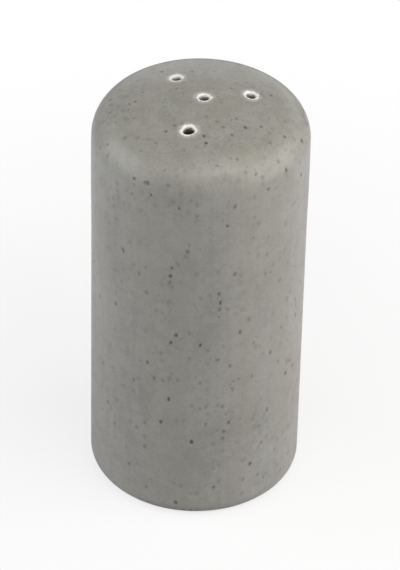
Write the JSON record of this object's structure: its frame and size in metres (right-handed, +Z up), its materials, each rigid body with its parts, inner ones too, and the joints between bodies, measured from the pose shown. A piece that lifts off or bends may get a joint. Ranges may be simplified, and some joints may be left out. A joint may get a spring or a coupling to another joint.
{
  "type": "salt shaker",
  "caption": "Cylindrical glazed stoneware salt shaker with a slightly domed, pierced crown, filled through a base hole closed by a soft push-in stopper.",
  "frame": {"origin": "centre of the foot ring, on the table surface", "axes": "+Z up along the shaker's axis, -Y towards the viewer of the picture, +X to that viewer's right"},
  "size_m": [0.046, 0.046, 0.0954],
  "materials": {
    "glaze": "satin grey glaze with fine dark specks",
    "stopper": "translucent soft silicone, matt"
  },
  "bodies": {
    "body": {"body": "glaze"},
    "stopper": {"stopper": "stopper"}
  },
  "joints": [
    {"name": "stopper_pull", "type": "slide", "parent": "body", "child": "stopper", "axis": [0, 0, -1], "range_m": [0, 0.02]}
  ]
}
